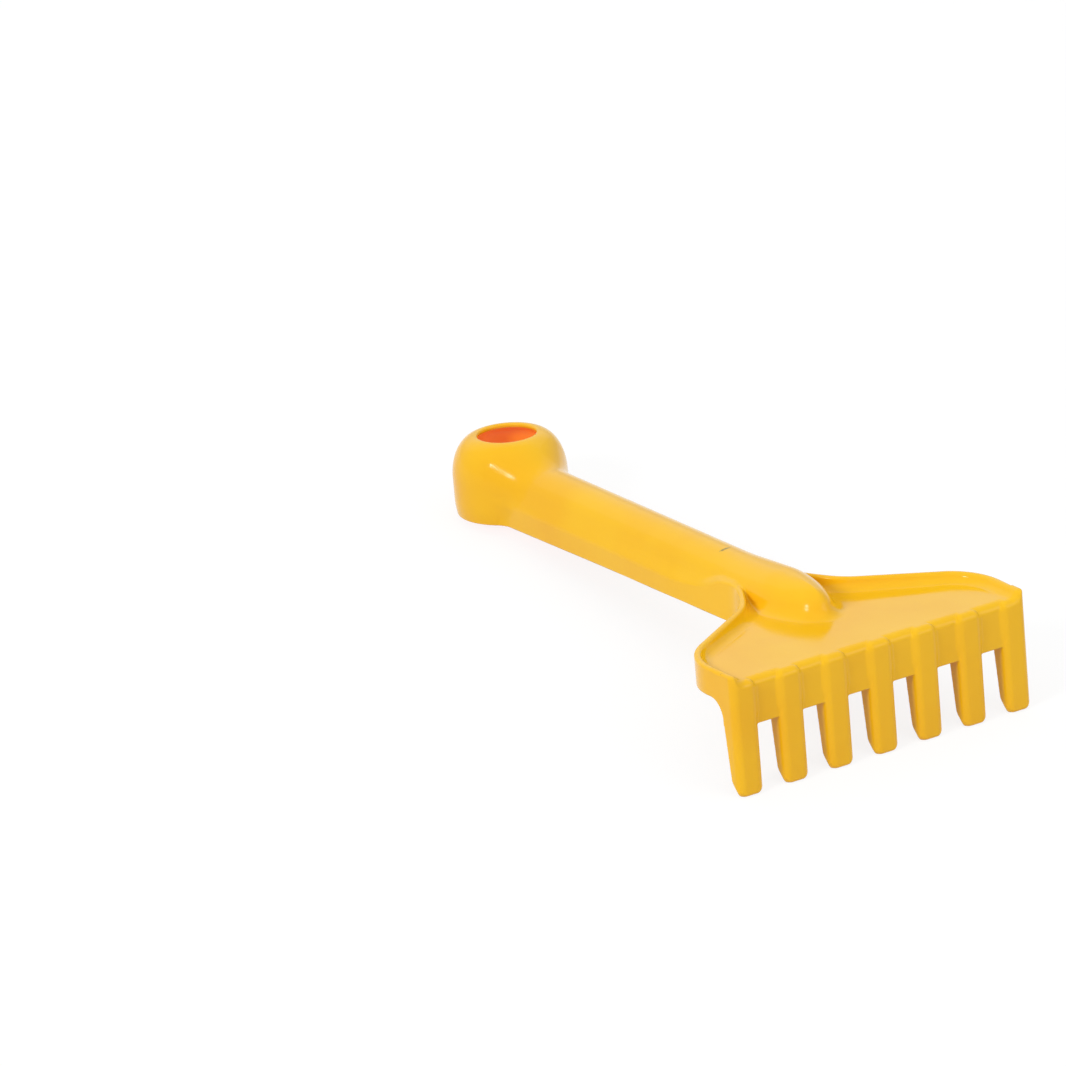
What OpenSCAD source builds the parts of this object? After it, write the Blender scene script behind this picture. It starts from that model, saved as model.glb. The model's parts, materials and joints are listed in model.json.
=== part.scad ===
// Child's sand rake: one thin-walled moulding, open underneath, with a row of channel teeth,
// a flared head with a raised lip, a rounded handle and a domed hang ring.
// Each piece is a region of that moulding, cut where one form runs into the next.
// X runs from the teeth to the ring, Y across the head, and Z is up.
// The rake stands on its tooth tips and its ring, and the origin is under the middle of it.

/* [Moulding] */
// Wall thickness all over
wall = 1.8; // [1.2:0.1:2.4]
// Distance from the front of the teeth to the centre of the ring
reach = 225; // [190:1:260]

/* [Teeth] */
// Number of teeth
tooth_count = 7; // [5:1:9]
// Distance from one tooth to the next
tooth_pitch = 18; // [15:0.5:22]
// Width of a tooth
tooth_w = 9.4; // [7:0.1:11]
// Length of a tooth below the top of the head plate
tooth_len = 39.2; // [32:0.2:46]
// Depth of a tooth's side walls at the head
tooth_depth = 6.4; // [5.4:0.1:9]
// Depth of a tooth's side walls at the tip
tip_depth = 4.6; // [3.6:0.1:5.2]
// How far the side walls rise from the front of the tip to the back
tip_rise = 2.6; // [0.5:0.1:4]
// Rounding of the lower front edge of a tooth
tip_edge_r = 1; // [0.4:0.1:1.6]
// Rounding of the lower corners of a tooth, seen from the front
tip_corner_r = 2.2; // [0.6:0.1:3]
// Rounding of the upright front edges of a tooth
tooth_edge_r = 2.1; // [0.8:0.1:2.6]
// Rounding of the top front edge of a tooth
tooth_top_r = 3; // [1:0.1:5]
// How far a tooth stands out in front of the front wall
tooth_proud = 2.7; // [1.5:0.1:3.2]

/* [Head] */
// Height of the plate's top above the lower edge of the moulding
plate_h = 7.2; // [5:0.1:9]
// How far the front wall hangs below the lower edge of the moulding
web_drop = 9.6; // [7.5:0.1:14]
// Rounding of the top edge of the front wall
web_top_r = 3; // [2:0.1:4]
// Straight length of each side, from the front of the teeth
side_len = 15; // [10:0.5:20]
// Radius of the rear corners
corner_r = 21.5; // [14:0.5:28]
// Angle between the slanting flanks and the handle
flank_a = 58; // [50:1:66]
// Radius of the hollow curve from a flank to the handle
neck_r = 13.5; // [8:0.5:20]
// Height of the lip above the plate where the straight side ends
lip_front = 2; // [0.6:0.1:3]
// Height of the lip above the plate at the neck
lip_rear = 5; // [2:0.1:7]
// Height of the lip above the plate where it meets an end tooth
lip_end = 1; // [0:0.1:2]
// Length over which the lip runs out along the handle
lip_fade = 16; // [8:0.5:24]
// Radius of the hollow curve from the lower edge to an end tooth
gusset_r = 7; // [3:0.5:7]

/* [Handle] */
// Radius of the rounded top
crown_r = 10.2; // [8:0.1:10.8]
// Height of the handle at the head
crown_h = 17.8; // [16.2:0.1:21]
// How much higher the handle is at the ring than at the head
crown_gain = 2.5; // [0.5:0.1:4]
// Width of the handle across its lower edges
grip_w = 25.6; // [24.6:0.1:30]
// Height of the hollow shoulder below the rounded top
shoulder_h = 4; // [2:0.1:6]
// Distance from the front of the teeth to the centre of the rounded nose
nose_x = 39.5; // [30:0.5:48]

/* [Ring] */
// Outer radius at the belly
ring_r = 20.4; // [18:0.1:24]
// Outer radius at the foot
foot_r = 19.8; // [17:0.1:20.4]
// Height of the ring
ring_h = 26.8; // [24.5:0.1:30]
// Height at which the belly reaches its full radius
belly_h = 6; // [2:0.1:8]
// Height of the rounded shoulder
dome_h = 12.4; // [8:0.1:14]
// Radius of the hole in the top
hole_r = 10.7; // [8:0.1:13]
// Flat width round the hole
hole_land = 0.6; // [0.2:0.1:1.5]

/* [Hidden] */
$fn = 64;
// Extra length that carries every cut past the faces it opens
overrun = 1;
// Steps in each drawn curve
curve_n = 10;
// Share of a tooth's tip that is flat
tip_flat_share = 0.33;

// Levels and places of the head
half_w = (tooth_count - 1) * tooth_pitch / 2 + tooth_w / 2;
grip_half = grip_w / 2;
tip_z = plate_h - tooth_len;
web_z = -web_drop;
plate_low = plate_h - wall;
web_r = min(web_top_r, tooth_depth - tooth_proud);
edge_r = min(tooth_edge_r, tooth_proud);
top_r = min(tooth_top_r, tooth_depth - wall);
tip_flat = (tip_depth - tip_edge_r) * tip_flat_share;
flank_len = (half_w - grip_half - (corner_r + neck_r) * (1 - cos(flank_a))) / sin(flank_a);
neck_x = side_len + (corner_r + neck_r) * sin(flank_a) + flank_len * cos(flank_a);
neck_end = neck_x + lip_fade;

// Line of the handle
axis_z = crown_h - crown_r;
handle_len = reach - ring_r - neck_end;
handle_slope = atan2(crown_gain, handle_len);

// Points of an arc about c, from angle a to angle b
function arc(c, r, a, b) =
    [for (i = [0 : curve_n]) let (t = a + (b - a) * i / curve_n) [c[0] + r * cos(t), c[1] + r * sin(t)]];
function flip(pts) = [for (i = [len(pts) - 1 : -1 : 0]) [pts[i][0], -pts[i][1]]];
function back(pts) = [for (i = [len(pts) - 1 : -1 : 0]) pts[i]];
function level(pts, dz) = [for (p = pts) [p[0], p[1] + dz]];

// Plan of one side of the head, from the teeth to the handle, moved in by d
function side_path(d) = concat(
    [[tooth_depth, half_w - d]],
    arc([side_len, half_w - corner_r], corner_r - d, 90, 90 - flank_a),
    arc([neck_x, grip_half + neck_r], neck_r + d, 270 - flank_a, 270),
    [[neck_end, grip_half - d]]);

// Side view of a tooth
tooth_side = concat(
    arc([tip_edge_r, tip_z + tip_edge_r], tip_edge_r, 180, 270),
    [[tip_edge_r + tip_flat, tip_z], [tip_depth, tip_z + tip_rise], [tooth_depth, web_z], [tooth_depth, plate_h]],
    arc([top_r, plate_h - top_r], top_r, 90, 180));

// Front view of a tooth
tooth_front = concat(
    arc([tooth_w / 2 - tip_corner_r, tip_z + tip_corner_r], tip_corner_r, 270, 360),
    [[tooth_w / 2, plate_h], [-tooth_w / 2, plate_h]],
    arc([tip_corner_r - tooth_w / 2, tip_z + tip_corner_r], tip_corner_r, 180, 270));

// Plan of a tooth
tooth_plan = concat(
    arc([edge_r, tooth_w / 2 - edge_r], edge_r, 180, 90),
    [[tooth_depth, tooth_w / 2], [tooth_depth, -tooth_w / 2]],
    arc([edge_r, edge_r - tooth_w / 2], edge_r, 270, 180));

// Side view of the front wall
web_side = concat(
    [[tooth_proud, web_z]],
    arc([tooth_proud + web_r, plate_h - web_r], web_r, 180, 90),
    [[tooth_depth, plate_h], [tooth_depth, plate_low]],
    arc([tooth_proud + web_r, plate_h - web_r], web_r - wall, 90, 180),
    [[tooth_proud + wall, web_z]]);

// Side view of the rim: the lip above, and the hollow curve to the end tooth below
rim_side = concat(
    arc([tooth_depth + gusset_r, -gusset_r], gusset_r, 180, 90),
    [[neck_end, 0], [neck_end, plate_h], [neck_x, plate_h + lip_rear],
     [side_len, plate_h + lip_front], [tooth_depth, plate_h + lip_end]]);

// Section of the handle about the axis of its rounded top
function shoulder(y) =
    [for (i = [0 : curve_n]) let (t = i / curve_n) [y + (grip_half - crown_r) * (1 - cos(180 * t)) / 2, -shoulder_h * t]];
skirt_end = -axis_z - crown_gain - shoulder_h;
crown_section = concat(arc([0, 0], crown_r, 0, 180), arc([0, 0], crown_r - wall, 180, 0));
skirt_section = concat(
    shoulder(crown_r), [[grip_half, skirt_end], [grip_half - wall, skirt_end]], back(shoulder(crown_r - wall)));
channel_half = concat(shoulder(crown_r - wall), [[grip_half - wall, skirt_end]]);
channel_section = concat(
    arc([0, 0], crown_r - wall, 0, 180),
    [for (p = channel_half) [-p[0], p[1]]],
    back(channel_half));

// Section of the ridge over the plate, and half of it for the round nose
ridge_envelope = concat(
    [[crown_r, plate_low]], level(arc([0, 0], crown_r, 0, 180), axis_z), [[-crown_r, plate_low]]);
ridge_arch = concat(
    ridge_envelope,
    [[wall - crown_r, plate_low]], level(arc([0, 0], crown_r - wall, 180, 0), axis_z), [[crown_r - wall, plate_low]]);
nose_half = concat(
    [[crown_r, plate_low]], level(arc([0, 0], crown_r, 0, 90), axis_z),
    level(arc([0, 0], crown_r - wall, 90, 0), axis_z), [[crown_r - wall, plate_low]]);

// Outer curve of the ring, moved in by d
dome_w = ring_r - hole_r - hole_land;
function ring_curve(d) = concat(
    [[foot_r - d, 0]],
    [for (i = [0 : curve_n]) let (t = 90 * i / curve_n)
        [ring_r - d - (dome_w - d) * (1 - cos(t)), ring_h - dome_h + (dome_h - d) * sin(t)]]);
function belly(d) = concat([ring_curve(d)[0], [ring_r - d, belly_h]], [for (i = [1 : curve_n + 1]) ring_curve(d)[i]]);

// Resting pose: the tooth tips and the far side of the ring's foot are on the floor
tip_x = tip_edge_r + tip_flat;
rest_tilt = atan2(-tip_z, reach + foot_r - tip_x);
function along(p) = p[0] * cos(rest_tilt) + p[1] * sin(rest_tilt);
first_x = min([for (p = tooth_side) along(p)]);
last_x = max([for (p = belly(0)) along([reach + p[0], p[1]])]);
floor_z = tip_z * cos(rest_tilt) - tip_x * sin(rest_tilt);

module place() {
    translate([-(first_x + last_x) / 2, 0, -floor_z]) rotate([0, rest_tilt, 0]) children();
}

// A section in Y and Z, drawn out along X
module along_x(from, to) {
    translate([from, 0, 0]) rotate([90, 0, 90]) linear_extrude(to - from) children();
}

// A side view in X and Z, drawn out along Y
module along_y(from, to) {
    translate([0, to, 0]) rotate([90, 0, 0]) linear_extrude(to - from) children();
}

// A section of the handle, from the head to the middle of the ring
module along_handle() {
    translate([neck_end, 0, axis_z]) rotate([0, -handle_slope, 0])
        along_x(-overrun, (reach - neck_end) / cos(handle_slope)) children();
}

module ring_envelope() {
    translate([reach, 0, 0]) rotate_extrude() polygon(concat([[0, 0]], belly(0), [[0, ring_h]]));
}

// What is left of the handle above its lower edge, between the head and the ring
module between_head_and_ring() {
    difference() {
        intersection() {
            children();
            translate([neck_end, -grip_w, 0]) cube([reach - neck_end, 2 * grip_w, 2 * ring_h]);
        }
        ring_envelope();
    }
}

module hang_ring() {
    hole_edge = [[hole_r, ring_h], [hole_r, ring_h - wall]];
    color("gold") place() difference() {
        translate([reach, 0, 0]) rotate_extrude() polygon(concat(belly(0), hole_edge, back(belly(wall))));
        along_handle() polygon(channel_section);
    }
}

module handle_crown() {
    color("gold") place() between_head_and_ring() along_handle() polygon(crown_section);
}

module handle_skirt(side) {
    color("gold") place() between_head_and_ring()
        along_handle() polygon([for (p = skirt_section) [side * p[0], p[1]]]);
}

module handle_skirt_left() { handle_skirt(1); }
module handle_skirt_right() { handle_skirt(-1); }

module ridge() {
    color("gold") place() union() {
        along_x(nose_x, neck_end) polygon(ridge_arch);
        translate([nose_x, 0, 0]) rotate([0, 0, 90]) rotate_extrude(angle = 180) polygon(nose_half);
    }
}

module head_plate() {
    color("gold") place() translate([0, 0, plate_low]) linear_extrude(wall) difference() {
        polygon(concat(side_path(wall), flip(side_path(wall))));
        translate([nose_x, 0]) circle(r = crown_r);
        translate([nose_x, -crown_r]) square([neck_end - nose_x + overrun, 2 * crown_r]);
    }
}

// The side wall of the head, which stops at the ridge
module rim(side) {
    band = concat(side_path(0), back(side_path(wall)));
    color("goldenrod") place() difference() {
        intersection() {
            translate([0, 0, web_z]) linear_extrude(plate_h + lip_rear - web_z + overrun)
                polygon([for (p = band) [p[0], side * p[1]]]);
            along_y(-half_w - overrun, half_w + overrun) polygon(rim_side);
        }
        along_x(nose_x, neck_end + overrun) polygon(ridge_envelope);
    }
}

module rim_left() { rim(1); }
module rim_right() { rim(-1); }

function tooth_y(i) = half_w - tooth_w / 2 - (i - 1) * tooth_pitch;

// The front wall between tooth i and the next one
module front_wall(i) {
    color("goldenrod") place()
        along_y(tooth_y(i + 1) + tooth_w / 2, tooth_y(i) - tooth_w / 2) polygon(web_side);
}

// A tooth: a channel that is open behind and at its tip
module tooth(i) {
    color("goldenrod") place() translate([0, tooth_y(i), 0]) difference() {
        intersection() {
            translate([0, 0, tip_z]) linear_extrude(tooth_len) polygon(tooth_plan);
            along_y(-tooth_w, tooth_w) polygon(tooth_side);
            along_x(-overrun, tooth_depth + overrun) polygon(tooth_front);
        }
        translate([wall, wall - tooth_w / 2, tip_z - overrun])
            cube([tooth_depth, tooth_w - 2 * wall, tooth_len - wall + overrun]);
    }
}

hang_ring();
handle_crown();
handle_skirt_left();
handle_skirt_right();
ridge();
head_plate();
rim_left();
rim_right();
for (i = [1 : tooth_count - 1]) front_wall(i);
for (i = [1 : tooth_count]) tooth(i);
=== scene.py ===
"""A child's sand rake as one smooth moulding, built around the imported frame."""

import json
import math
from types import SimpleNamespace

import bpy
import numpy as np
from mathutils import Matrix, Vector
from mathutils.geometry import delaunay_2d_cdt


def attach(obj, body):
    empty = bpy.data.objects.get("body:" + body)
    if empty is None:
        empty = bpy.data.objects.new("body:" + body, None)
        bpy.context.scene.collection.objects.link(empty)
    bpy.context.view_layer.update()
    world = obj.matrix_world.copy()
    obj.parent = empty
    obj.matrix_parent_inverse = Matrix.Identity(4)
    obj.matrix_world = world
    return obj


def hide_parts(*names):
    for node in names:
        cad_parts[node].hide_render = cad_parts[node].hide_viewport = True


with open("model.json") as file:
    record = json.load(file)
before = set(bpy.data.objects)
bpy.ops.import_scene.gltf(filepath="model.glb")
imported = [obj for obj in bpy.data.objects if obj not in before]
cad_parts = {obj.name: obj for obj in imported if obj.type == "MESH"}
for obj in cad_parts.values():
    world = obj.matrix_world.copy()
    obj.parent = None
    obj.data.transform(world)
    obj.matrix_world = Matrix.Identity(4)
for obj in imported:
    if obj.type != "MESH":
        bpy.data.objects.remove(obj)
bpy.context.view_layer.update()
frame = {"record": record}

bl_info = {
    "name": "Sand rake",
    "version": (1, 0, 0),
    "blender": (4, 5, 0),
    "location": "View3D > Sidebar > Sand rake",
    "description": "Builds a moulded sand rake from its sizes and colours",
    "category": "Object",
}

MM = 0.001
BODY = "root"
NORMAL_NAME = "skin_normal"
EDGE_NAME = "edge"
CORE_NAME = "core"

# How the skin is drawn, in millimetres
PULLS = 3  # times that the net is pulled on to the surface
PULL_REACH = 0.01  # reach of the slope that a pull follows
NORMAL_REACH = 0.12  # reach of the slope that gives the normals
BEND_REACH = 0.6  # reach of the measure of how sharp an edge is
CORE_BAND = (0.25, 0.05)  # distances from the hollow at which the core mark starts and is full
CUT_CLEARANCE = 0.03  # least distance that a point keeps from a cut

# Surface of the plastic
FLOW_SCALE, FLOW_BAND = 28.0, (0.35, 0.75)
HANDLED_SCALE, HANDLED_BAND = 60.0, (0.3, 0.8)
HANDLED_ROUGH, RUBBED_ROUGH, CORE_ROUGH = 0.06, 0.18, 0.18  # what each adds to the roughness
RUBBED_COLOUR = 0.45  # share of the scuffed colour on a rubbed edge
# The band along X over which the hollow side inside the ring takes its painted shade and painted light
PAINTED_RING_BAND = (0.04, 0.085)  # X in metres from which the hollow side takes the inner colour, and has all of it
BUMP_STRENGTH, BUMP_HEIGHT = 0.05, 0.0004
NICK_PLACE = (87.7, 1.0, 17.9)  # in the upright moulding, in millimetres
NICK_SIZE = (0.0008, 0.0027, 0.0030)  # half sizes in metres
NICK_SCALE, NICK_RIM = 900.0, (1.05, 1.5)

# Stage: a lamp's place is its direction and rise in degrees, and its width and height in metres
LAMP_DISTANCE = 2.0
LAMP_PLACE = (102.0, 32.0, 0.45, 0.45)
GLINT_PLACE = (100.5, 32.0, 0.22, 0.22)
SCREEN_PLACE = (12.0, 38.0, 3.2, 1.8)  # its direction is counted from the camera's heading
FILL_PLACE = (205.0, 28.0, 1.4, 0.9)
SKY_BAND = (0.05, 0.85)  # heights between which the sky goes from the horizon's strength to the zenith's
SKY_MIRRORED = 0.75  # least strength of the sky in the skin's reflections
FLOOR_REACH = 8
FLOOR_SHADE, FLOOR_WHITE = 0.16, 0.85  # share of the floor's look that takes shadow, and the share that doesn't


# Sizes and colours that a user would change

def length(name, millimetres, description):
    return bpy.props.FloatProperty(
        name=name, description=description, default=millimetres * MM, min=0.0, unit="LENGTH", precision=5)


def angle(name, degrees, description):
    return bpy.props.FloatProperty(
        name=name, description=description, default=math.radians(degrees), subtype="ANGLE")


def share(name, default, description):
    return bpy.props.FloatProperty(
        name=name, description=description, default=default, min=0.0, max=1.0, subtype="FACTOR")


def colour(name, rgb, description):
    return bpy.props.FloatVectorProperty(
        name=name, description=description, default=rgb, size=3, min=0.0, max=1.0, subtype="COLOR")


def number(name, default, description):
    return bpy.props.FloatProperty(name=name, description=description, default=default)


class RakeTeeth(bpy.types.PropertyGroup):
    """Sizes of the teeth and of the row that they stand in"""
    count: bpy.props.IntProperty(name="Teeth", description="Number of teeth", default=7, min=3, max=15)
    pitch: length("Pitch", 18, "Distance from one tooth to the next")
    width: length("Width", 9.9, "Width of a tooth")
    drop: length("Length", 39.2, "Length of a tooth below the top of the plate")
    depth: length("Depth", 6.8, "Depth of a tooth's side walls at the head")
    tip_depth: length("Tip depth", 4.6, "Depth of a tooth's side walls at the tip")
    tip_flat: length("Tip flat", 2.2, "How far back the tip stays level")
    tip_rise: length("Tip rise", 2.6, "How far the side walls rise behind the tip")
    tip_corner: length("Tip corner", 2.2, "Rounding of the lower corners")
    tip_edge: length("Tip edge", 1.0, "Rounding of the lower front edge")
    front_edge: length("Front edge", 2.7, "Rounding of the front edges")
    top_edge: length("Top edge", 2.8, "Rounding of the sides of the top")
    proud: length("Proud", 1.3, "How far a tooth stands out from the front wall")
    root: length("Root fillet", 1.3, "Fillet between a tooth and the front wall")


class RakeHead(bpy.types.PropertyGroup):
    """Sizes of the head: the plate, its lip and the front wall"""
    wall: length("Wall", 1.8, "Thickness of the moulding")
    plate: length("Plate height", 7.2, "Height of the plate above the lower edge")
    web_drop: length("Front wall drop", 8.7, "How far the front wall hangs below the lower edge")
    web_edge: length("Front wall edge", 3.0, "Rounding of the front wall's top edge")
    side: length("Side", 15, "Straight length of each side")
    corner: length("Corner", 21.5, "Radius of the rear corners")
    flank: angle("Flank", 58, "Angle between a slanting flank and the handle")
    neck: length("Neck", 24, "Radius of the hollow curve from a flank to the handle")
    lip: length("Lip width", 2.3, "Width of the lip")
    lip_end: length("Lip at the teeth", 2.5, "Height of the lip where it meets an end tooth")
    lip_front: length("Lip at the side", 2.6, "Height of the lip where the straight side ends")
    lip_rear: length("Lip at the neck", 5.2, "Height of the lip at the neck")
    lip_fade: length("Lip fade", 10, "Length over which the lip comes down past the neck")
    lip_edge: length("Lip edge", 1.0, "Rounding of the lip's top")
    lip_fillet: length("Lip fillet", 3.8, "Fillet at the inner foot of the lip")
    gusset: length("Gusset", 7.0, "Radius of the hollow curve from the lower edge to an end tooth")
    low_edge: length("Low edge", 0.5, "Rounding of the lower edges")


class RakeHandle(bpy.types.PropertyGroup):
    """Sizes of the handle and of the ridge that carries it over the head"""
    reach: length("Reach", 225, "Distance from the front of the teeth to the centre of the ring")
    crown: length("Crown radius", 10.2, "Radius of the rounded top")
    height: length("Height", 17.8, "Height of the handle at the head")
    gain: length("Gain", 2.5, "How much higher the handle is at the ring")
    grip: length("Grip width", 28.2, "Width across the lower edges at the neck")
    taper: length("Taper", 3.2, "How much narrower the handle is at the ring")
    lean: share("Lean at the neck", 0.22, "How far the side walls lean in for each unit of height")
    lean_far: share("Lean at the ring", 0.10, "The same near the ring")
    saddle: length("Saddle", 4.0, "Height of the shoulders above the plate behind the neck")
    shoulder: length("Shoulder", 0.6, "Depth of the shoulders below the crown's axis along the handle")
    shoulder_edge: length("Shoulder edge", 3.5, "Rounding of the shoulders")
    tip: length("Nose tip", 30.5, "Distance from the front of the teeth to the tip of the nose")
    nose: length("Nose length", 25, "Length over which the nose widens")
    fullness: number("Nose fullness", 2.0, "Power of the nose's plan: 2 is an ellipse, 1 a straight wedge")
    dip: length("Nose dip", 0.4, "How much lower the top is at the nose than along the handle")
    swell: length("Swell", 0.7, "How much wider and higher the ridge is behind the nose than the handle")
    swell_fade: length("Swell fade", 28, "Length over which the swell runs out")
    blend: length("Ridge fillet", 4.0, "Fillet at the foot of the ridge")
    crease: length("Neck crease", 1.2, "Fillet between the handle's rounded top and the lip at the neck")
    groove: length("Groove fillet", 5.0, "Fillet at the foot of the crown along the handle")


class RakeRing(bpy.types.PropertyGroup):
    """Sizes of the hang ring"""
    radius: length("Radius", 20.4, "Outer radius at the belly")
    foot: length("Foot radius", 19.8, "Outer radius at the foot")
    height: length("Height", 27.9, "Height of the ring")
    belly: length("Belly height", 6.0, "Height at which the ring reaches its full radius")
    dome: length("Dome height", 14.5, "Height of the rounded shoulder")
    hole: length("Hole radius", 10.5, "Radius of the hole in the top")
    land: length("Land", 0.6, "Flat width round the hole")
    datum: length("Hole level", 25.9, "Height of the frame's hang hole above the lower edge")
    hole_edge: length("Hole edge", 0.8, "Rounding of the hole's edge")
    blend: length("Ring fillet", 8.0, "Fillet between the ring's dome and the handle")
    foot_blend: length("Foot fillet", 2.5, "Fillet between the ring and the handle at the lower edge")


class RakeFinish(bpy.types.PropertyGroup):
    """Colours and surface of the plastic"""
    yellow: colour("Yellow", (0.90, 0.515, 0.010), "Main colour of the plastic")
    deep: colour("Deep yellow", (0.87, 0.465, 0.008), "Colour where the plastic flowed together")
    scuff: colour("Scuffed", (0.92, 0.58, 0.07), "Colour of rubbed edges")
    # Painted shade: a deeper orange on the hollow side inside the ring, standing in for light bounced round the
    # hollow
    inner: colour("Inner yellow", (0.87, 0.40, 0.012), "Deeper colour inside the ring")
    # Painted light: an emission on the hollow side inside the ring, standing in for light through the thin wall
    painted_glow: colour("Inner glow", (0.22, 0.026, 0.012), "Light that comes through the thin wall inside the ring")
    nick: colour("Nick", (0.36, 0.25, 0.03), "Colour of a small nick in the top of the handle")
    gloss: share("Roughness", 0.115, "Roughness of the outer skin")
    shine: share("Shine", 0.27, "Strength of the reflections, which is 0.5 for a plain clear coat")
    cells: bpy.props.IntProperty(
        name="Cells", description="Mesh cells in one tooth pitch", default=40, min=16, max=64)


class RakeStage(bpy.types.PropertyGroup):
    """Camera and light"""
    heading: angle("Heading", -32.62, "Direction that the camera looks in, from +X towards +Y")
    elevation: angle("Elevation", 25.022, "Height of the camera above the horizon")
    roll: angle("Roll", -0.874, "Turn of the camera about its own axis")
    aim: bpy.props.FloatVectorProperty(
        name="Aim", description="Point in the middle of the picture",
        default=(0.03668, 0.034, 0.02692), size=3, subtype="TRANSLATION", unit="LENGTH")
    distance: bpy.props.FloatProperty(
        name="Distance", description="Distance of the camera from that point", default=2.2921, unit="LENGTH")
    lens: number("Lens", 226.05, "Focal length in millimetres on a 36 mm frame")
    zenith: number("Zenith", 0.80, "Strength of the even light from above")
    horizon: number("Horizon", 0.52, "Strength of the even light from all round")
    lamp: number("Lamp", 25.0, "Radiance of the soft lamp on the left and of its mirrored glint")
    screen: number("Screen", 0.30, "Radiance of the white screen behind")
    fill: number("Fill", 1.5, "Radiance of the wide lamp in front of the teeth")
    floor: colour("Floor", (0.64, 0.56, 0.50), "Colour that the floor throws back on to the rake")


GROUPS = {
    "rake_teeth": RakeTeeth, "rake_head": RakeHead, "rake_handle": RakeHandle,
    "rake_ring": RakeRing, "rake_finish": RakeFinish, "rake_stage": RakeStage,
}


def millimetres(group):
    """A group's lengths in millimetres, with its other values as they are."""
    values = {}
    for key, prop in group.bl_rna.properties.items():
        if key not in ("rna_type", "name"):
            value = getattr(group, key)
            values[key] = value / MM if prop.unit == "LENGTH" else value
    return SimpleNamespace(**values)


# Distance fields

def fillet(a, b, radius):
    """Both shapes together, with a round fillet where they meet."""
    near_a, near_b = np.maximum(radius - a, 0), np.maximum(radius - b, 0)
    return np.maximum(radius, np.minimum(a, b)) - np.hypot(near_a, near_b)


def round_cut(a, b, radius):
    """What the two shapes share, with a rounded edge where they meet."""
    return -fillet(-a, -b, radius)


def ease(x, start, end):
    """Smooth step from 0 at start to 1 at end."""
    t = np.clip((x - start) / (end - start), 0, 1)
    return t * t * (3 - 2 * t)


class Flat:
    """Distance to an outline in a plane, kept on a fine grid and read by interpolation."""

    def __init__(self, outline, inside, low, high, step=0.1):
        self.low, self.step = np.array(low, float), step
        u = np.arange(low[0], high[0] + step, step)
        v = np.arange(low[1], high[1] + step, step)
        grid_u, grid_v = np.meshgrid(u, v, indexing="ij")
        nearest = np.full(grid_u.shape, 1e9)
        for (au, av), (bu, bv) in zip(outline[:-1], outline[1:]):
            du, dv = bu - au, bv - av
            t = np.clip(((grid_u - au) * du + (grid_v - av) * dv) / max(du * du + dv * dv, 1e-12), 0, 1)
            nearest = np.minimum(nearest, np.hypot(grid_u - au - t * du, grid_v - av - t * dv))
        self.table = np.where(inside(grid_u, grid_v), -nearest, nearest)

    def __call__(self, u, v):
        top = np.array(self.table.shape) - 1.001
        a = np.clip((u - self.low[0]) / self.step, 0, top[0])
        b = np.clip((v - self.low[1]) / self.step, 0, top[1])
        i, j = a.astype(int), b.astype(int)
        a, b = a - i, b - j
        t = self.table
        return ((1 - a) * (1 - b) * t[i, j] + a * (1 - b) * t[i + 1, j]
                + (1 - a) * b * t[i, j + 1] + a * b * t[i + 1, j + 1])


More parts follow.
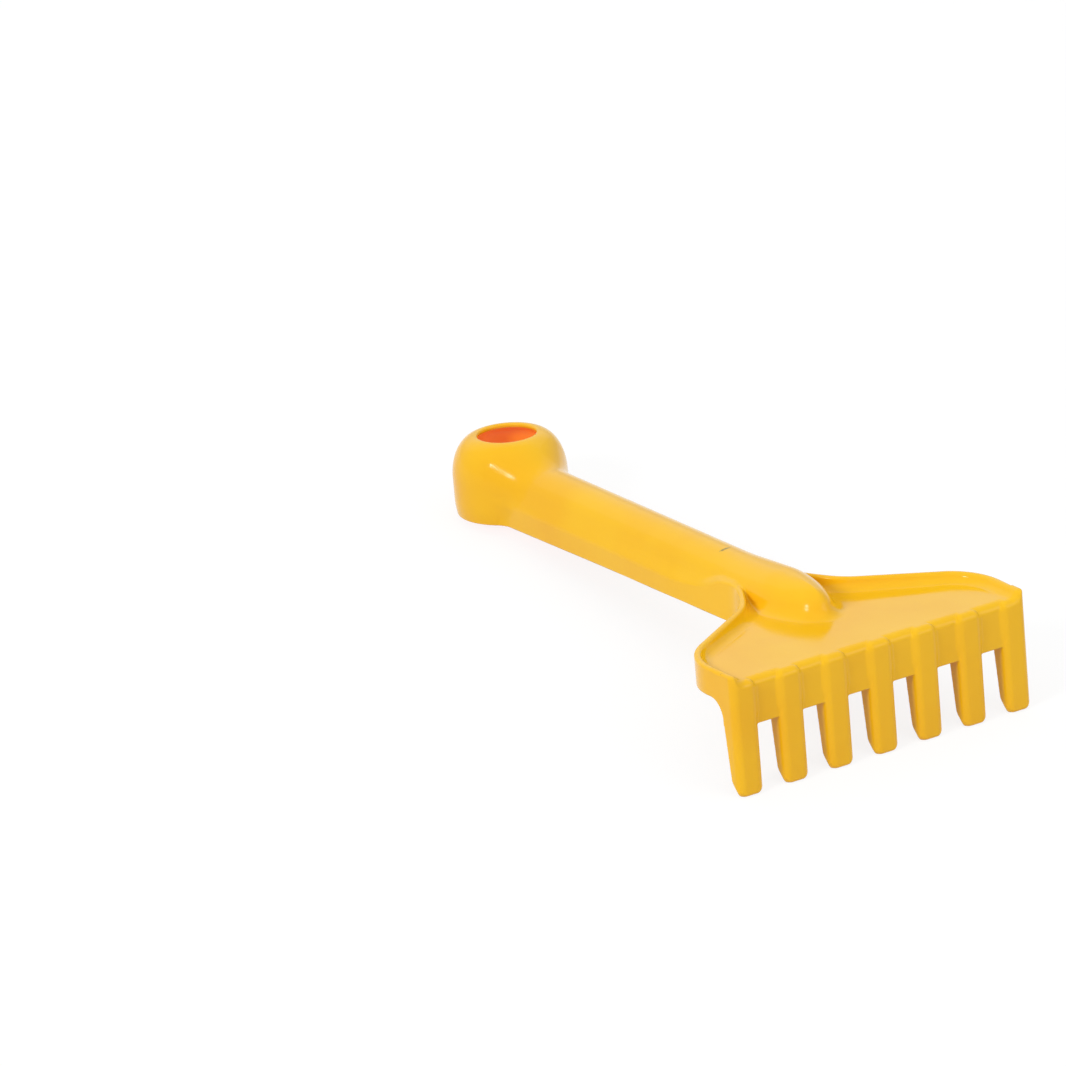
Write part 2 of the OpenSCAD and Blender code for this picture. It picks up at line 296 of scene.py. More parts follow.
class Mould:
    """Distance in millimetres to the skin of the moulding, in its upright frame.
    X runs from the teeth to the ring, Z is up, and the lower edge of the moulding is at zero."""

    def __init__(self, scene):
        self.teeth, self.head = millimetres(scene.rake_teeth), millimetres(scene.rake_head)
        self.handle, self.ring = millimetres(scene.rake_handle), millimetres(scene.rake_ring)
        t, h, g, r = self.teeth, self.head, self.handle, self.ring
        self.step = t.pitch / scene.rake_finish.cells
        self.half_w = (t.count - 1) * t.pitch / 2 + t.width / 2
        self.grip = g.grip / 2
        self.tip = h.plate - t.drop
        self.sin, self.cos = math.sin(h.flank), math.cos(h.flank)
        self.flank_len = (self.half_w - self.grip - (h.corner + h.neck) * (1 - self.cos)) / self.sin
        self.neck_x = h.side + (h.corner + h.neck) * self.sin + self.flank_len * self.cos
        self.neck_end = self.neck_x + h.lip_fade
        self.axis = g.height - g.crown
        self.slope = g.gain / (g.reach - r.radius - self.neck_end)
        self.along = np.arange(-10, 300, 0.5)
        neck, fade = self.neck_x, h.lip_fade
        # The lip's top, from the teeth over the neck to where it sinks into the shoulders
        lip_x = [t.proud, t.depth, h.side, neck - 6, neck + 0.6 * fade, self.neck_end, neck + 2 * fade]
        lip_z = [h.lip_end - 0.3, h.lip_end, h.lip_front, h.lip_rear, h.lip_rear - 0.3, h.lip_rear - 0.8, -1.0]
        self.lip_top = self.smooth(lip_x, h.plate + np.array(lip_z))
        # The plate's level, which rises over the saddle behind the neck and becomes the shoulders
        shoulder = self.axis_at(self.along) - g.shoulder
        rise_x = [neck - 11, neck - 5, neck + 0.1 * fade, neck + 1.1 * fade, neck + 3.4 * fade]
        rise = self.smooth(rise_x, [0, 0.35, 0.95, 1, 0])
        past = ease(self.along, neck - 4, neck + 4.4 * fade)
        self.level = h.plate * (1 - past) + shoulder * past + g.saddle * rise
        # How far the crown's top stands above the even handle
        end = g.tip + g.nose
        self.hump = self.smooth([g.tip + 0.35 * g.nose, end, end + g.swell_fade], [-g.dip, g.swell, 0])
        self.ridge_plan = self.nose_plan()
        self.ring_side = self.ring_profile()

    def smooth(self, places, values):
        """Values along X, joined by lines whose bends are softened."""
        reach = 7
        kernel = np.hanning(2 * reach + 1)
        line = np.pad(np.interp(self.along, places, values), reach, mode="edge")
        return np.convolve(line, kernel / kernel.sum(), mode="valid")

    def ring_profile(self):
        """Distance to the ring's outer skin in a plane through its axis."""
        r = self.ring
        turn = np.linspace(0, math.pi / 2, 40)
        low = np.linspace(0, r.belly, 12)
        reach = r.radius - r.hole - r.land
        radii = np.concatenate([r.radius - (r.radius - r.foot) * (1 - low / r.belly) ** 2,
                                r.radius - reach * (1 - np.cos(turn))])
        levels = np.concatenate([low, r.height - r.dome + r.dome * np.sin(turn)])
        outline = [(r.foot, -40.0), *zip(radii, levels), (0.0, r.height)]

        def inside(u, v):
            return (u < np.interp(v, levels, radii)) & (v < r.height)

        return Flat(outline, inside, (0, -6), (40, 40))

    def nose_plan(self):
        """Distance in plan to one half of the handle's rounded top, from its nose to the even handle."""
        g = self.handle
        turn = np.linspace(0, math.pi / 2, 60)
        fade = np.linspace(0, 1, 25)[1:]
        end, power = g.tip + g.nose, 2 / g.fullness
        x = np.concatenate([end - g.nose * np.cos(turn) ** power, end + g.swell_fade * fade])
        y = np.concatenate([(g.crown + g.swell) * np.sin(turn) ** power,
                            g.crown + g.swell * (1 - ease(fade, 0, 1))])
        outline = [*zip(x, y), (x[-1] + 20, g.crown)]

        def inside(u, v):
            return (u > g.tip) & (v < np.interp(u, x, y))

        return Flat(outline, inside, (g.tip - 12, 0), (x[-1] + 8, 32))

    def outline(self, x, y):
        """Plan of one half of the head and the handle."""
        h = self.head
        cx, cy = h.side, self.half_w - h.corner
        px, py = cx + h.corner * self.sin, cy + h.corner * self.cos
        along = (x - px) * self.cos - (y - py) * self.sin
        grip = y - self.grip + self.handle.taper / 2 * ease(x, self.neck_x, self.handle.reach - 70)
        neck = h.neck - np.hypot(x - self.neck_x, y - self.grip - h.neck)
        flank = (x - px) * self.sin + (y - py) * self.cos
        corner = np.hypot(x - cx, y - cy) - h.corner
        rear = np.where(along < self.flank_len, flank, np.where(x < self.neck_x, neck, grip))
        front = np.where((y - cy) * self.sin > (x - cx) * self.cos, corner, rear)
        return np.where(x < h.side, y - self.half_w, front)

    def axis_at(self, x):
        """Level of the crown's axis, which climbs along the handle."""
        return self.axis + self.slope * np.maximum(x - self.neck_end, 0)

    def crown(self, x, y, z):
        """The handle's rounded top, with its nose on the head."""
        top = self.axis_at(x) + self.handle.crown + np.interp(x, self.along, self.hump)
        return round_cut(self.ridge_plan(x, y), z - top, self.handle.crown)

    def lower_edge(self, x):
        """Level of the lower edge: the front wall, the gusset behind an end tooth, and zero."""
        t, h = self.teeth, self.head
        back = np.clip(t.depth + h.gusset - x, 0, h.gusset)
        return np.where(x < t.depth, -h.web_drop, np.sqrt(h.gusset ** 2 - back ** 2) - h.gusset)

    def top(self, x, y, z):
        """Distance to the edge in plan, to the plate's level, and to that level with the lip on it."""
        h, g = self.head, self.handle
        lean = g.lean * ease(x, self.neck_x - 14, self.neck_x + 3)
        lean = lean + (g.lean_far - g.lean) * ease(x, self.neck_x + 8, self.neck_x + 54)
        edge = self.outline(x, y) + lean * np.maximum(z, 0)
        level = z - np.interp(x, self.along, self.level)
        lip = round_cut(-edge - h.lip, z - np.interp(x, self.along, self.lip_top), h.lip_edge)
        return edge, level, fillet(level, lip, h.lip_fillet)

    def tooth(self, x, y, z, top):
        """A row of solid teeth, and the channels that hollow them."""
        t, h = self.teeth, self.head
        first = -(t.count - 1) / 2 * t.pitch
        across = np.abs(y - first - t.pitch * np.clip(np.round((y - first) / t.pitch), 0, t.count - 1))
        side = across - t.width / 2
        end = ease(np.abs(y), self.half_w - t.width / 2, self.half_w - h.lip)
        block = round_cut(side, top, t.top_edge + (h.lip_edge - t.top_edge) * end)
        block = round_cut(block, -x, t.front_edge)
        lean = t.tip_rise / (t.tip_depth - t.tip_flat)
        ramp = (self.tip - z + (x - t.tip_flat) * lean) / math.hypot(1, lean)
        foot = np.maximum(self.tip - z, ramp)
        block = round_cut(block, foot, t.tip_edge + (t.tip_corner - t.tip_edge) * ease(side, -3.0, 0.0))
        low = self.tip + t.tip_rise
        depth = t.tip_depth + (z - low) * (t.depth - t.tip_depth) / (-h.web_drop - low)
        block = round_cut(block, x - np.minimum(depth, t.depth), h.low_edge)
        channel = np.maximum(across - t.width / 2 + h.wall, np.maximum(h.wall - x, z - h.plate + h.wall))
        return block, np.maximum(channel, x - t.depth - h.wall)

    def layers(self, x, y, z):
        """Distance to the outer skin, to the hollow under it and to the top of the head,
        before the teeth and the lower edge."""
        t, h, g, r = self.teeth, self.head, self.handle, self.ring
        edge, level, top = self.top(x, y, z)
        past = ease(x, self.neck_x, self.neck_end + 8)
        groove = g.blend + (g.crease - g.blend) * ease(x, self.neck_x - 20, self.neck_x - 8)
        groove = groove + (g.groove - g.crease) * ease(x, self.neck_x + 4, self.neck_x + 44)
        crown = np.maximum(self.crown(x, y, z), x - g.reach)
        ring = self.ring_side(np.hypot(x - g.reach, y), z)
        join = r.foot_blend + (r.blend - r.foot_blend) * ease(z, 2, 13)

        def closed(plate, radius):
            plate = round_cut(round_cut(edge, plate, radius), t.proud - x, h.web_edge)
            return fillet(fillet(np.maximum(plate, x - g.reach), crown, groove), ring, join)

        front = 1 - ease(x, t.depth - 3, t.depth + 8)
        skin = closed(top, h.lip_edge * (1 + front) + (g.shoulder_edge - h.lip_edge) * past)
        return skin, closed(level, g.shoulder_edge) + h.wall, top

    def __call__(self, x, y, z):
        t, h, g, r = self.teeth, self.head, self.handle, self.ring
        y = np.abs(y)
        skin, hollow, top = self.layers(x, y, z)
        shell = round_cut(np.maximum(skin, -hollow), self.lower_edge(x) - z, h.low_edge)
        hole = r.hole - np.hypot(x - g.reach, y)
        shell = np.where(z > r.height - r.dome, round_cut(shell, hole, r.hole_edge), shell)
        block, channel = self.tooth(x, y, z, top)
        root = t.root * ease(z, h.plate - 1.0, h.plate - 3.5) * ease(y, self.half_w - 0.7, self.half_w - 2.5)
        root = root * (0.35 + 0.65 * ease(z, 1 - h.web_drop, 5 - h.web_drop))
        return np.maximum(fillet(shell, block, root), -channel)

    def near(self, x, y, z):
        """Where the moulding can be, so that empty space isn't measured."""
        t, h, r = self.teeth, self.head, self.ring
        low = np.where(x < t.depth + h.gusset + 2, self.tip - 1, -1.0)
        wide = np.where(x < self.neck_end, self.half_w + 1, r.radius + 1)
        return (z > low) & (z < r.height + 1) & (np.abs(y) < wide)

    def slope_at(self, p, reach):
        """Gradient of the field at points p."""
        grad = np.empty_like(p)
        for k in range(3):
            d = np.zeros(3)
            d[k] = reach
            grad[:, k] = (self(*(p + d).T) - self(*(p - d).T)) / (2 * reach)
        return grad


# Meshes

class Part:
    """A closed triangle mesh with a normal at each corner and marks at each point."""

    def __init__(self, points, tris, normals, marks):
        self.points, self.tris, self.normals, self.marks = points, tris, normals, marks

    def compact(self):
        used = np.unique(self.tris)
        place = np.zeros(len(self.points), int)
        place[used] = np.arange(len(used))
        return Part(self.points[used], place[self.tris], self.normals, self.marks[used])

    def take(self, keep):
        return Part(self.points, self.tris[keep], self.normals[keep], self.marks).compact()

    def half(self, side):
        """The triangles on one side of the middle, for parts that don't cross it."""
        return self.take(side * self.points[self.tris][:, :, 1].mean(axis=1) > 0)


def sampled(mould):
    """The field on a grid round the moulding, measured on one half and mirrored, and the grid's lowest corner."""
    step = mould.step
    low = np.array([-2.5 * step, -math.ceil(mould.half_w / step + 2) * step, mould.tip - 2.3 * step])
    high = np.array([mould.handle.reach + mould.ring.radius, mould.half_w, mould.ring.height]) + 2.6 * step
    n = np.ceil((high - low) / step).astype(int) + 1
    axes = [low[k] + step * np.arange(n[k]) for k in range(3)]
    middle = int(round(-low[1] / step))
    x, y, z = np.meshgrid(axes[0], axes[1][middle:], axes[2], indexing="ij", copy=False)
    mask = mould.near(x, y, z)
    half = np.full(x.shape, 1.0)
    half[mask] = mould(x[mask], y[mask], z[mask])
    half[half == 0] = 1e-6
    return np.concatenate([half[:, :0:-1][:, -middle:], half], axis=1), low


def net_over(field):
    """A net of quads over the cells that the skin crosses, with its points counted in cells."""
    inside = field < 0
    cells = np.array(field.shape) - 1
    corners = [(i, j, k) for i in (0, 1) for j in (0, 1) for k in (0, 1)]

    def window(c):
        return tuple(slice(c[k], c[k] + cells[k]) for k in range(3))

    count = sum(inside[window(c)].astype(np.uint8) for c in corners)
    active = (count > 0) & (count < 8)
    index = np.full(active.shape, -1)
    index[active] = np.arange(active.sum())
    cell = np.argwhere(active)
    total, crossings = np.zeros((len(cell), 3)), np.zeros(len(cell))
    for a in corners:
        for k in range(3):
            if a[k] == 0:
                b = tuple(1 if m == k else a[m] for m in range(3))
                fa, fb = field[tuple((cell + a).T)], field[tuple((cell + b).T)]
                crossed = (fa < 0) != (fb < 0)
                t = np.where(crossed, fa / np.where(crossed, fa - fb, 1), 0)
                total += crossed[:, None] * (np.array(a) + t[:, None] * (np.array(b) - a))
                crossings += crossed
    quads = []
    for k in range(3):
        u, v = (k + 1) % 3, (k + 2) % 3
        first = tuple(slice(0, -1) if m == k else slice(1, -1) for m in range(3))
        second = tuple(slice(1, None) if m == k else slice(1, -1) for m in range(3))
        here = np.argwhere(inside[first] != inside[second])
        here[:, [u, v]] += 1
        ring = []
        for du, dv in ((-1, -1), (0, -1), (0, 0), (-1, 0)):
            c = here.copy()
            c[:, u] += du
            c[:, v] += dv
            ring.append(index[tuple(c.T)])
        quad = np.stack(ring, axis=1)
        outward = inside[tuple(here.T)]
        quads.append(np.where(outward[:, None], quad, quad[:, ::-1]))
    return cell + total / crossings[:, None], np.concatenate(quads)


def pulled_on(mould, points):
    """The points, pulled on to the surface."""
    most = 0.6 * mould.step
    for _ in range(PULLS):
        grad = mould.slope_at(points, PULL_REACH)
        size = np.maximum((grad ** 2).sum(axis=1), 0.25)
        move = grad * (mould(*points.T) / size)[:, None]
        points -= move * np.minimum(1, most / np.maximum(np.linalg.norm(move, axis=1), 1e-9))[:, None]
    return points


def marks_at(mould, points):
    """How sharp the edge is at each point, and how much the point is on the hollow side."""
    _, hollow, top = mould.layers(points[:, 0], np.abs(points[:, 1]), points[:, 2])
    channel = mould.tooth(*points.T, top)[1]
    above = points[:, 2] > mould.lower_edge(points[:, 0]) - 0.2
    core = np.maximum(above * ease(np.abs(hollow), *CORE_BAND), ease(np.abs(channel), *CORE_BAND))
    steps = [sign * BEND_REACH * axis for axis in np.eye(3) for sign in (-1, 1)]
    edge = sum(mould(*(points + step).T) for step in steps) / BEND_REACH ** 2
    return np.stack([edge, core], axis=1)


def skin_mesh(mould):
    """The moulding's whole skin, drawn as a net over the cells that it crosses and pulled on to the surface."""
    field, low = sampled(mould)
    places, quads = net_over(field)
    points = pulled_on(mould, low + mould.step * places)
    normals = mould.slope_at(points, NORMAL_REACH)
    normals /= np.linalg.norm(normals, axis=1)[:, None]
    one, other = (np.linalg.norm(points[quads[:, a]] - points[quads[:, b]], axis=1) for a, b in ((0, 2), (1, 3)))
    shorter = (one <= other)[:, None]
    tris = np.concatenate([np.where(shorter, quads[:, [0, 1, 2]], quads[:, [0, 1, 3]]),
                           np.where(shorter, quads[:, [0, 2, 3]], quads[:, [1, 2, 3]])])
    return Part(points, tris, normals[tris], marks_at(mould, points))


def face_normals(points, tris):
    a, b, c = (points[tris[:, k]] for k in range(3))
    n = np.cross(b - a, c - a)
    return n / np.maximum(np.linalg.norm(n, axis=1), 1e-12)[:, None]


def lids_over(points, follow, unwrap):
    """Triangles that fill the loops of a cut. follow names the point after each, and unwrap lays a loop flat."""
    lids = []
    while follow:
        loop, at = [], next(iter(follow))
        while at in follow:
            loop.append(at)
            at = follow.pop(at)
        flat = unwrap(points[loop])
        found = delaunay_2d_cdt([Vector(p) for p in flat], [], [list(range(len(loop)))], 1, 1e-6)
        faces, origin = found[2], found[3]
        made = np.array([[origin[corner][0] for corner in face] for face in faces])
        e, g = flat[made[:, 1]] - flat[made[:, 0]], flat[made[:, 2]] - flat[made[:, 0]]
        turn = e[:, 0] * g[:, 1] - e[:, 1] * g[:, 0]
        after = np.roll(flat, -1, axis=0)
        way = np.sign((flat[:, 0] * after[:, 1] - flat[:, 1] * after[:, 0]).sum())
        lids.append(np.array(loop)[np.where((turn * way < 0)[:, None], made[:, ::-1], made)])
    return np.concatenate(lids)


def part_in_two(part, value, unwrap):
    """Cuts a closed part where value is zero, and closes both sides. The first side is where value is below zero.
    unwrap lays the cut flat, so that it can be filled."""
    f = value(*part.points.T)
    f = np.copysign(np.maximum(np.abs(f), CUT_CLEARANCE), f)
    above = f[part.tris] > 0
    count = above.sum(axis=1)
    mixed = np.flatnonzero((count == 1) | (count == 2))
    lone_above = count[mixed] == 1
    lone = np.argmax(above[mixed] == lone_above[:, None], axis=1)
    order = (lone[:, None] + np.arange(3)) % 3
    tri = np.take_along_axis(part.tris[mixed], order, axis=1)
    nor = np.take_along_axis(part.normals[mixed], order[:, :, None], axis=1)
    pairs = np.sort(np.concatenate([tri[:, [0, 1]], tri[:, [0, 2]]]), axis=1)
    unique, inverse = np.unique(pairs, axis=0, return_inverse=True)
    inverse = inverse.ravel()
    one, other = unique.T
    t = (f[one] / (f[one] - f[other]))[:, None]
    points, marks = (
        np.concatenate([old, old[one] * (1 - t) + old[other] * t]) for old in (part.points, part.marks))
    base = len(part.points)
    a, b = base + inverse[:len(tri)], base + inverse[len(tri):]

    def between(k):
        w = (f[tri[:, 0]] / (f[tri[:, 0]] - f[tri[:, k]]))[:, None]
        n = nor[:, 0] * (1 - w) + nor[:, k] * w
        return n / np.linalg.norm(n, axis=1)[:, None]

    def pieces(corners, at_a, at_b):
        """The lone corner's triangle, and the two triangles of the rest."""
        lone, second, third = corners[:, 0], corners[:, 1], corners[:, 2]
        rest = np.concatenate([np.stack([at_a, second, third], axis=1), np.stack([at_a, third, at_b], axis=1)])
        return np.stack([lone, at_a, at_b], axis=1), rest

    small_tris, large_tris = pieces(tri, a, b)
    small_normals, large_normals = pieces(nor, between(1), between(2))
    follow = dict(zip(np.where(lone_above, b, a).tolist(), np.where(lone_above, a, b).tolist()))
    lids = lids_over(points, follow, unwrap)
    sides = []
    for whole, own, lid in ((count == 0, ~lone_above, lids[:, ::-1]), (count == 3, lone_above, lids)):
        twice = np.concatenate([~own, ~own])
        tris = np.concatenate([part.tris[whole], small_tris[own], large_tris[twice], lid])
        normals = np.concatenate([part.normals[whole], small_normals[own], large_normals[twice],
                                  np.repeat(face_normals(points, lid)[:, None], 3, axis=1)])
        sides.append(Part(points, tris, normals, marks).compact())
    return sides


def cut_moulding(scene):
    """Cuts the moulding into its named regions, along lines that lie on its smooth faces."""
    mould = Mould(scene)
    t, h, g = mould.teeth, mould.head, mould.handle
    whole = skin_mesh(mould)

    def at_x(place):
        return lambda x, y, z: x - place, lambda p: p[:, [1, 2]]

    def at_y(place):
        return lambda x, y, z: y - place, lambda p: p[:, [0, 2]]

    ring_start = g.reach - mould.ring.radius + 0.9
    front, rest = part_in_two(whole, *at_x(t.depth + 0.6))
    head, stick = part_in_two(rest, *at_x(mould.neck_end))
    handle, ring = part_in_two(stick, *at_x(ring_start))
    skirts, crown = part_in_two(handle, lambda x, y, z: z - mould.axis_at(x), lambda p: p[:, [0, 1]])
    inner, rims = part_in_two(
        head, lambda x, y, z: mould.outline(x, np.abs(y)) + h.lip + 0.4, lambda p: p[:, [0, 2]])
    margin, centre = g.crown + g.swell + 1.2, g.tip + g.crown

    def round_nose(x, y, z):
        return np.hypot(np.minimum(x - centre, 0), y) - margin

    def along_nose(p):
        turn = np.arctan2(p[:, 1], np.maximum(centre - p[:, 0], 1e-6)) * margin
        return np.stack([turn + np.sign(p[:, 1]) * np.maximum(p[:, 0] - centre, 0), p[:, 2]], axis=1)

    ridge, plate = part_in_two(inner, round_nose, along_nose)
    wing = t.width / 2 + 1.0
    last = (t.count - 1) / 2 * t.pitch
    middle, left = part_in_two(front, *at_y(last - wing))
    right, middle = part_in_two(middle, *at_y(wing - last))
    middle, _ = part_in_two(middle, *at_y(t.pitch - wing))
    middle, wall = part_in_two(middle, *at_y(wing))
    _, tooth = part_in_two(middle, *at_y(-wing))
    return {
        "hang_ring": ring, "handle_crown": crown,
        "handle_skirt_left": skirts.half(1), "handle_skirt_right": skirts.half(-1),
        "ridge": ridge, "head_plate": plate, "rim_left": rims.half(1), "rim_right": rims.half(-1),
        "tooth_left": left, "tooth_right": right, "tooth": tooth, "wall": wall,
    }


MADE = {}


def region(name):
    """A named region of the moulding, which is made once."""
    if not MADE:
        MADE.update(cut_moulding(bpy.context.scene))
    return MADE[name]


def resting():
    """Turns and moves the upright moulding to where the frame's hang hole is."""
    scene = bpy.context.scene
    hole = next(m for m in frame["record"]["mounts"] if m["name"] == "hang_hole")
    tilt = math.atan2(hole["axis"][0], hole["axis"][2])
    turn = Matrix.Rotation(tilt, 4, "Y")
    upright = Vector((scene.rake_handle.reach, 0, scene.rake_ring.datum))
    return Matrix.Translation(Vector(hole["pos_m"]) - turn @ upright) @ turn


def mesh_of(name, part):
    """A Blender mesh in metres, at rest."""
    place = np.array(resting())
    points = part.points * MM @ place[:3, :3].T + place[:3, 3]
    normals = part.normals.reshape(-1, 3) @ place[:3, :3].T
    mesh = bpy.data.meshes.new(name)
    mesh.vertices.add(len(points))
    mesh.vertices.foreach_set("co", points.ravel())
    mesh.loops.add(part.tris.size)
    mesh.loops.foreach_set("vertex_index", part.tris.ravel())
    mesh.polygons.add(len(part.tris))
    mesh.polygons.foreach_set("loop_start", np.arange(0, part.tris.size, 3))
    mesh.update(calc_edges=True)
    mesh.attributes.new(NORMAL_NAME, "FLOAT_VECTOR", "CORNER").data.foreach_set("vector", normals.ravel())
    for k, mark in enumerate((EDGE_NAME, CORE_NAME)):
        mesh.attributes.new(mark, "FLOAT", "POINT").data.foreach_set("value", part.marks[:, k])
    return mesh


def place_piece(name, mesh, nodes):
    """Adds a finished mesh as the piece that stands for these nodes of the frame."""
    kept = mesh.attributes[NORMAL_NAME]
    normals = np.empty(len(mesh.loops) * 3, np.float32)
    kept.data.foreach_get("vector", normals)
    mesh.attributes.remove(kept)
    mesh.polygons.foreach_set("use_smooth", np.ones(len(mesh.polygons), bool))
    mesh.normals_split_custom_set(normals.reshape(-1, 3).tolist())
    mesh.materials.clear()
    mesh.materials.append(plastic())
    mesh.name = name
    piece = bpy.data.objects.new("rake_" + name, mesh)
    bpy.context.scene.collection.objects.link(piece)
    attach(piece, BODY)
    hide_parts(*nodes)


def place_regions(*names):
    """Places regions of the moulding that each stand for the node of the same name."""
    for name in names:
        place_piece(name, mesh_of(name, region(name)), [name])


# Rows of like pieces

def row_tree():
    """Repeats a mesh along Y at an even pitch."""
    name = "Row of like pieces"
    if name in bpy.data.node_groups:
        return bpy.data.node_groups[name]
    tree = bpy.data.node_groups.new(name, "GeometryNodeTree")
    kinds = {"Geometry": "Geometry", "Count": "Int", "Pitch": "Float", "Start": "Float", "Material": "Material"}
    for label, kind in kinds.items():
        tree.interface.new_socket(label, in_out="INPUT", socket_type="NodeSocket" + kind)
    tree.interface.new_socket("Geometry", in_out="OUTPUT", socket_type="NodeSocketGeometry")
    add = tree.nodes.new
    given, result = add("NodeGroupInput"), add("NodeGroupOutput")
    start, offset = add("ShaderNodeCombineXYZ"), add("ShaderNodeCombineXYZ")
    line, spread, real, paint = (
        add("GeometryNode" + kind) for kind in ("MeshLine", "InstanceOnPoints", "RealizeInstances", "SetMaterial"))
    line.mode = "OFFSET"
    for source, output, target, socket in (
            (given, "Start", start, "Y"), (given, "Pitch", offset, "Y"), (given, "Count", line, "Count"),
            (start, "Vector", line, "Start Location"), (offset, "Vector", line, "Offset"),
            (line, "Mesh", spread, "Points"), (given, "Geometry", spread, "Instance"),
            (spread, "Instances", real, "Geometry"), (real, "Geometry", paint, "Geometry"),
            (given, "Material", paint, "Material"), (paint, "Geometry", result, "Geometry")):
        tree.links.new(source.outputs[output], target.inputs[socket])
    return tree


def row_mesh(name, mesh, count, start):
    """The mesh of a row, made by the tree and then kept as a plain mesh."""
    scene = bpy.context.scene
    tree = row_tree()
    seed = bpy.data.objects.new(name + "_seed", mesh)
    scene.collection.objects.link(seed)
    row = seed.modifiers.new("Row", "NODES")
    row.node_group = tree
    values = {"Count": count, "Pitch": scene.rake_teeth.pitch, "Start": start, "Material": plastic()}
    for socket in tree.interface.items_tree:
        if socket.in_out == "INPUT" and socket.name in values:
            row[socket.identifier] = values[socket.name]
    bpy.context.view_layer.update()
    shown = seed.evaluated_get(bpy.context.evaluated_depsgraph_get())
    made = bpy.data.meshes.new_from_object(shown)
    seed.modifiers.remove(row)
    bpy.data.objects.remove(seed)
    bpy.data.meshes.remove(mesh)
    return made


# Material

def shader_group(name, inputs, outputs):
    """An empty shader group with named sockets."""
    tree = bpy.data.node_groups.new(name, "ShaderNodeTree")
    for label, kind, default in inputs:
        socket = tree.interface.new_socket(label, in_out="INPUT", socket_type=kind)
        if default is not None:
            socket.default_value = default
    for label, kind in outputs:
        tree.interface.new_socket(label, in_out="OUTPUT", socket_type=kind)
    return tree, tree.nodes.new("NodeGroupInput"), tree.nodes.new("NodeGroupOutput")


def math_node(tree, operation, *values):
    """A math node whose inputs are sockets or plain numbers."""
    node = tree.nodes.new("ShaderNodeMath")
    node.operation = operation
    node.use_clamp = operation == "MULTIPLY_ADD"
    for socket, value in zip(node.inputs, values):
        if isinstance(value, (int, float)):
            socket.default_value = value
        else:
            tree.links.new(value, socket)
    return node.outputs[0]


def noise_node(tree, vector, scale, detail):
    node = tree.nodes.new("ShaderNodeTexNoise")
    node.inputs["Scale"].default_value = scale
    node.inputs["Detail"].default_value = detail
    tree.links.new(vector, node.inputs["Vector"])
    return node.outputs["Fac"]


def mix_node(tree, factor, a, b):
    """A colour mix whose colours are sockets or plain colours."""
    node = tree.nodes.new("ShaderNodeMix")
    node.data_type = "RGBA"
    tree.links.new(factor, node.inputs[0])
    for socket, value in ((node.inputs[6], a), (node.inputs[7], b)):
        if isinstance(value, bpy.types.NodeSocket):
            tree.links.new(value, socket)
        else:
            socket.default_value = (*value, 1.0)
    return node.outputs[2]


def ramp_node(tree, value, low, high):
    node = tree.nodes.new("ShaderNodeMapRange")
    node.interpolation_type = "SMOOTHSTEP"
    node.inputs["From Min"].default_value = low
    node.inputs["From Max"].default_value = high
    tree.links.new(value, node.inputs["Value"])
    return node.outputs["Result"]


def rubbed_edges():
    """Mask of edges that sand has rubbed, from the edge mark and patchy noise."""
    name = "Rubbed edges"
    if name in bpy.data.node_groups:
        return bpy.data.node_groups[name]
    tree, given, result = shader_group(
        name,
        [("Vector", "NodeSocketVector", None), ("Edge", "NodeSocketFloat", 0.0),
         ("Patch scale", "NodeSocketFloat", 90.0)],
        [("Mask", "NodeSocketFloat")])
    patch = tree.nodes.new("ShaderNodeTexNoise")
    patch.inputs["Detail"].default_value = 4.0
    tree.links.new(given.outputs["Vector"], patch.inputs["Vector"])
    tree.links.new(given.outputs["Patch scale"], patch.inputs["Scale"])
    sharp = ramp_node(tree, given.outputs["Edge"], 0.35, 1.6)
    spread = ramp_node(tree, patch.outputs["Fac"], 0.40, 0.66)
    tree.links.new(math_node(tree, "MULTIPLY", sharp, spread), result.inputs["Mask"])
    return tree


def moulded_grain():
    """Height of the fine waviness and grain that a mould leaves."""
    name = "Moulded grain"
    if name in bpy.data.node_groups:
        return bpy.data.node_groups[name]
    tree, given, result = shader_group(
        name,
        [("Vector", "NodeSocketVector", None), ("Core", "NodeSocketFloat", 0.0)],
        [("Height", "NodeSocketFloat")])
    wave = noise_node(tree, given.outputs["Vector"], 70.0, 1.0)
    grain = noise_node(tree, given.outputs["Vector"], 2600.0, 2.0)
    coarse = math_node(tree, "MULTIPLY_ADD", given.outputs["Core"], 0.35, 0.08)
    fine = math_node(tree, "MULTIPLY", grain, coarse)
    tree.links.new(math_node(tree, "ADD", wave, fine), result.inputs["Height"])
    return tree


def nick_mask(tree, where):
    """Mask of a small nick that lies along the top of the handle, behind the head."""
    place = resting()
    centre = tree.nodes.new("ShaderNodeMapping")
    centre.vector_type = "TEXTURE"
    centre.inputs["Location"].default_value = place @ (Vector(NICK_PLACE) * MM)
    centre.inputs["Rotation"].default_value = place.to_euler()
    centre.inputs["Scale"].default_value = NICK_SIZE
    tree.links.new(where, centre.inputs["Vector"])
    away = tree.nodes.new("ShaderNodeVectorMath")
    away.operation = "LENGTH"
    tree.links.new(centre.outputs["Vector"], away.inputs[0])
    ragged = math_node(tree, "ADD", away.outputs["Value"], noise_node(tree, where, NICK_SCALE, 2.0))
    return math_node(tree, "SUBTRACT", 1.0, ramp_node(tree, ragged, *NICK_RIM))


